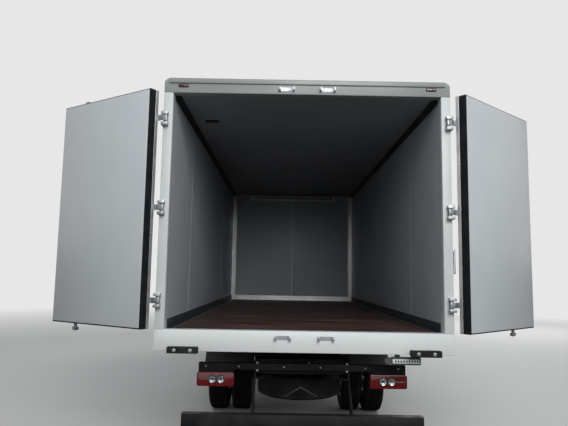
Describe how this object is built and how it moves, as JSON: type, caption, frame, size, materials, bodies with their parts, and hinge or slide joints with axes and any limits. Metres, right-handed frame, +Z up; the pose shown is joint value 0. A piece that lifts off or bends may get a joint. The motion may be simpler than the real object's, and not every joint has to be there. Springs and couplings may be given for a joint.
{
  "type": "refrigerated truck",
  "caption": "Light two-axle refrigerated truck with open rear doors, insulated sandwich-panel box, nose-mounted cooling unit and tilting cab.",
  "frame": {"origin": "on the ground, in the middle between the wheels' sides, midway between the rear doors' rearmost point and the front bumper", "axes": "+X to the truck's right, +Y forward, +Z up"},
  "size_m": [4.1596, 7.703, 3.071],
  "materials": {
    "panel_white": "satin laminate",
    "portal_paint": "worn satin",
    "floor_ply": "textured phenolic film",
    "dark_trim": "scuffed",
    "door_seal": "matt",
    "galvanised": "satin",
    "buffer_rubber": "matt",
    "chassis_black": "dusty satin",
    "cast_grey": "rough",
    "cab_white": "gloss",
    "bumper_grey": "grained",
    "window_glass": "clear",
    "lamp_red": "gloss",
    "lamp_clear": "gloss",
    "tyre": "dusty",
    "rim_paint": "satin",
    "tank_alloy": "satin",
    "seat_fabric": "woven",
    "dash_plastic": "grained",
    "unit_white": "satin",
    "mirror_black": "grained"
  },
  "bodies": {
    "truck": {"frame_rails": "chassis_black", "crossmembers": "chassis_black", "body_bearers": "chassis_black", "driveline": "cast_grey", "front_axle": "chassis_black", "rear_axle": "chassis_black", "leaf_springs": "chassis_black", "fuel_tank": "tank_alloy", "battery_box": "dash_plastic", "exhaust": "galvanised", "mudguards": "bumper_grey", "side_guards": "tank_alloy", "underrun_bar": "chassis_black", "lamp_beam": "chassis_black", "rear_lamps": "lamp_red", "spare_tyre": "tyre", "spare_rim": "rim_paint", "box_floor": "floor_ply", "left_wall": "panel_white", "right_wall": "panel_white", "front_wall": "panel_white", "roof": "panel_white", "rear_portal": "portal_paint", "dark_trims": "dark_trim", "portal_fittings": "galvanised", "dock_buffers": "buffer_rubber", "condenser": "unit_white", "evaporator": "unit_white"},
    "cab": {"cab_shell": "cab_white", "cab_glass": "window_glass", "grille_mask": "bumper_grey", "headlamps": "lamp_clear", "front_bumper": "bumper_grey", "mirrors": "mirror_black", "seats": "seat_fabric", "dashboard": "dash_plastic"},
    "cab_door_left_body": {"cab_door_left": "cab_white", "cab_door_left_glass": "window_glass"},
    "cab_door_right_body": {"cab_door_right": "cab_white", "cab_door_right_glass": "window_glass"},
    "rear_door_left_body": {"rear_door_left": "panel_white", "rear_door_left_seal": "door_seal", "rear_door_left_gear": "galvanised"},
    "rear_door_right_body": {"rear_door_right": "panel_white", "rear_door_right_seal": "door_seal", "rear_door_right_gear": "galvanised"},
    "steer_left": {"left_knuckle": "cast_grey"},
    "steer_right": {"right_knuckle": "cast_grey"},
    "track_rod": {"tie_rod": "chassis_black"},
    "wheel_front_left": {"front_left_tyre": "tyre", "front_left_rim": "rim_paint"},
    "wheel_front_right": {"front_right_tyre": "tyre", "front_right_rim": "rim_paint"},
    "wheel_rear_left": {"rear_left_tyre": "tyre", "rear_left_rim": "rim_paint"},
    "wheel_rear_right": {"rear_right_tyre": "tyre", "rear_right_rim": "rim_paint"}
  },
  "joints": [
    {"name": "rear_left_wheel", "type": "hinge", "parent": "truck", "child": "wheel_rear_left", "pos_m": [-0.7275, -1.53635, 0.39], "axis": [1, 0, 0], "continuous": true},
    {"name": "rear_right_wheel", "type": "hinge", "parent": "truck", "child": "wheel_rear_right", "pos_m": [0.7275, -1.53635, 0.39], "axis": [1, 0, 0], "continuous": true},
    {"name": "steering_left", "type": "hinge", "parent": "truck", "child": "steer_left", "pos_m": [-0.66, 2.71365, 0.39], "axis": [0, 0, 1], "range_deg": [-35, 35]},
    {"name": "steering_right", "type": "hinge", "parent": "truck", "child": "steer_right", "pos_m": [0.66, 2.71365, 0.39], "axis": [0, 0, 1], "range_deg": [-35, 35]},
    {"name": "front_left_wheel", "type": "hinge", "parent": "steer_left", "child": "wheel_front_left", "pos_m": [-0.83, 2.71365, 0.39], "axis": [1, 0, 0], "continuous": true},
    {"name": "front_right_wheel", "type": "hinge", "parent": "steer_right", "child": "wheel_front_right", "pos_m": [0.83, 2.71365, 0.39], "axis": [1, 0, 0], "continuous": true},
    {"name": "tie_rod_link", "type": "hinge", "parent": "steer_left", "child": "track_rod", "pos_m": [-0.66, 2.53365, 0.297], "axis": [0, 0, 1], "range_deg": [-35, 35]},
    {"name": "rear_door_left", "type": "hinge", "parent": "truck", "child": "rear_door_left_body", "pos_m": [-1.12, -3.77135, 1.965], "axis": [0, 0, 1], "range_deg": [-46.95, 213.05]},
    {"name": "rear_door_right", "type": "hinge", "parent": "truck", "child": "rear_door_right_body", "pos_m": [1.12, -3.77135, 1.965], "axis": [0, 0, -1], "range_deg": [-26.62, 221.38]},
    {"name": "cab_tilt", "type": "hinge", "parent": "truck", "child": "cab", "pos_m": [0, 3.63365, 0.72], "axis": [-1, 0, 0], "range_deg": [0, 45]},
    {"name": "cab_door_left", "type": "hinge", "parent": "cab", "child": "cab_door_left_body", "pos_m": [-1.015, 3.55365, 1.1], "axis": [0, 0, -1], "range_deg": [0, 70]},
    {"name": "cab_door_right", "type": "hinge", "parent": "cab", "child": "cab_door_right_body", "pos_m": [1.015, 3.55365, 1.1], "axis": [0, 0, 1], "range_deg": [0, 70]}
  ],
  "couplings": [
    {"joint": "steering_right", "follows": "steering_left", "ratio": 1},
    {"joint": "tie_rod_link", "follows": "steering_left", "ratio": -1}
  ]
}
